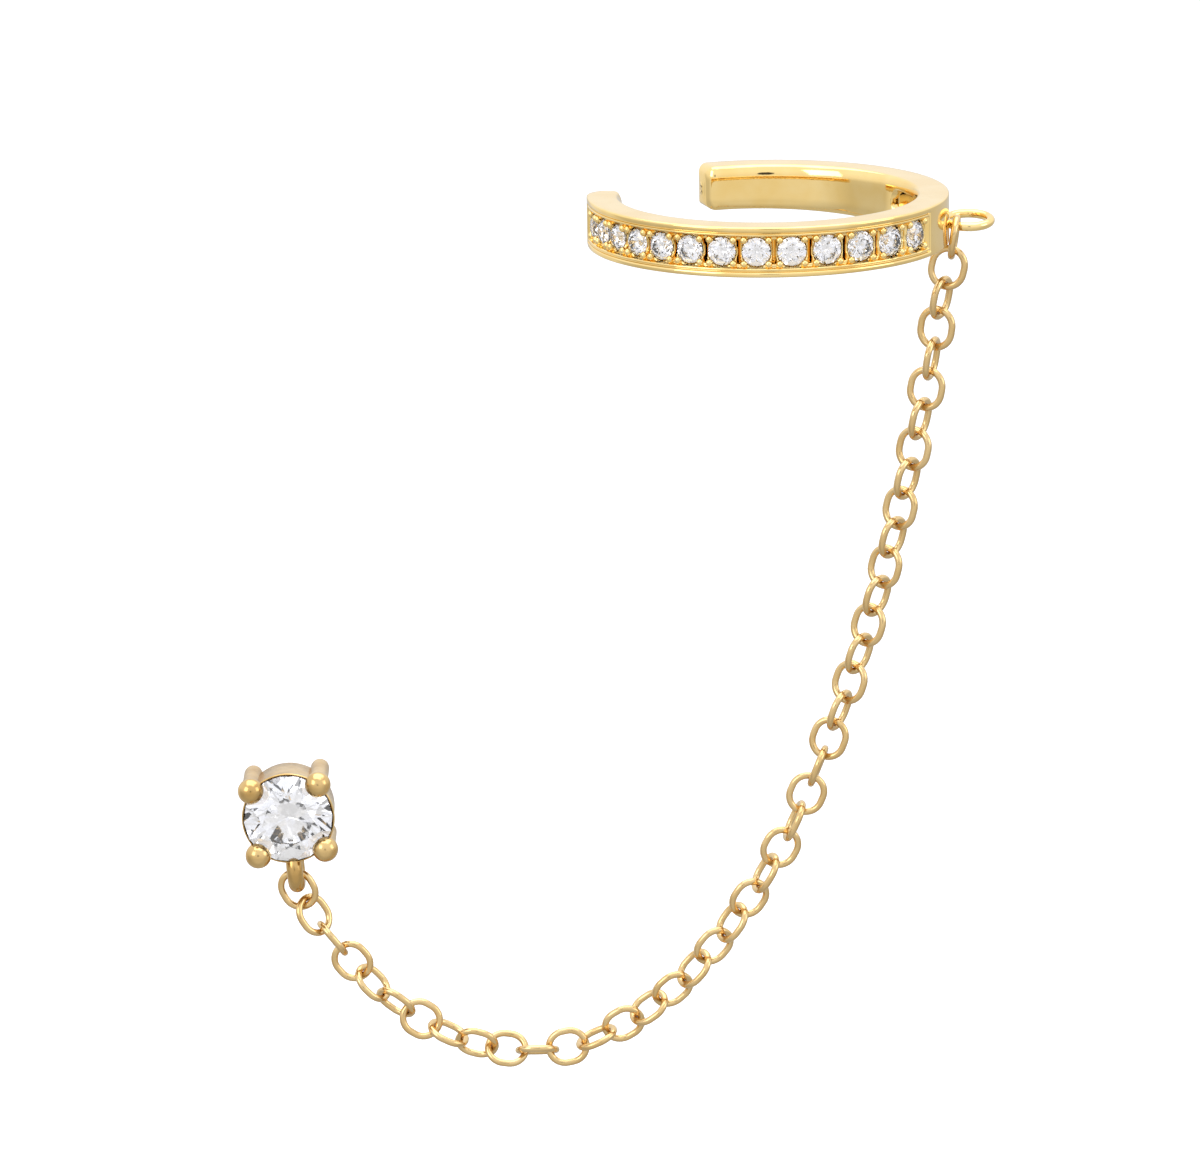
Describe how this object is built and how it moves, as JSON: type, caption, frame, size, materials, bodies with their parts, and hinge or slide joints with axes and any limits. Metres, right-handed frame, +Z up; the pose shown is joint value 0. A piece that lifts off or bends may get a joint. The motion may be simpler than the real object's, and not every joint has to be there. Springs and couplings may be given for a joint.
{
  "type": "ear chain earring",
  "caption": "Ear cuff with a row of pave-set round stones, joined by a fine cable chain to a four-prong stud with a plain post",
  "frame": {"origin": "centre of the ear cuff on its axis at half its height, where the rim of the ear sits in the cuff and carries the whole piece", "axes": "+Z up along the cuff's axis, +Y from the stones in front towards the head, +X to the side ring on the right of the cuff"},
  "size_m": [0.0256, 0.0164, 0.0302],
  "materials": {
    "cuff_gold": "polished yellow gold",
    "cuff_stone": "faceted and polished, colourless",
    "chain_gold": "polished yellow gold wire",
    "stud_gold": "polished yellow gold",
    "stud_stone": "faceted and polished, colourless"
  },
  "bodies": {
    "root": {"cuff_band": "cuff_gold", "cuff_stone_01": "cuff_stone", "cuff_stone_02": "cuff_stone", "cuff_stone_03": "cuff_stone", "cuff_stone_04": "cuff_stone", "cuff_stone_05": "cuff_stone", "cuff_stone_06": "cuff_stone", "cuff_stone_07": "cuff_stone", "cuff_stone_08": "cuff_stone", "cuff_stone_09": "cuff_stone", "cuff_stone_10": "cuff_stone", "cuff_stone_11": "cuff_stone", "cuff_stone_12": "cuff_stone", "cuff_stone_13": "cuff_stone", "chain": "chain_gold", "stud_setting": "stud_gold", "stud_stone": "stud_stone"}
  },
  "joints": []
}
